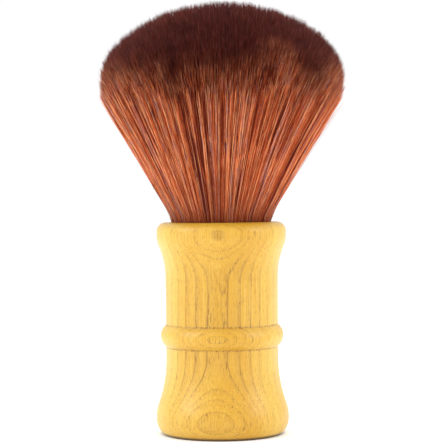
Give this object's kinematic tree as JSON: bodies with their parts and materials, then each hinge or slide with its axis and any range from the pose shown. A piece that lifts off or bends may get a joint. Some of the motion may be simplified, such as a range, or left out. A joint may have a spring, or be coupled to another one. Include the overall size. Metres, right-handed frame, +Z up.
{
  "type": "neck duster brush",
  "caption": "Barber's neck duster: a turned wooden handle with a bead round its waist stands on its foot and holds a dense round fan of soft two-tone filaments.",
  "frame": {"origin": "centre of the handle's flat foot, on the surface that the brush stands on", "axes": "+Z up the brush's axis from the foot to the tips, -Y towards the front"},
  "size_m": [0.086, 0.086, 0.15],
  "materials": {
    "lacquered_wood": "pale yellow flat-sawn wood under a clear satin lacquer",
    "filaments": "fine synthetic filaments, orange-brown with dark aubergine-brown tips and a silky sheen",
    "resin": "cast amber resin",
    "adhesive": "set clear adhesive",
    "thread": "waxed binding thread"
  },
  "bodies": {
    "root": {"handle": "lacquered_wood", "adhesive_bed": "adhesive", "root_plug": "resin", "binding_thread": "thread", "bristle_core": "filaments", "bristle_inner_1": "filaments", "bristle_inner_2": "filaments", "bristle_inner_3": "filaments", "bristle_inner_4": "filaments", "bristle_inner_5": "filaments", "bristle_inner_6": "filaments", "bristle_outer_01": "filaments", "bristle_outer_02": "filaments", "bristle_outer_03": "filaments", "bristle_outer_04": "filaments", "bristle_outer_05": "filaments", "bristle_outer_06": "filaments", "bristle_outer_07": "filaments", "bristle_outer_08": "filaments", "bristle_outer_09": "filaments", "bristle_outer_10": "filaments", "bristle_outer_11": "filaments", "bristle_outer_12": "filaments"}
  },
  "joints": []
}
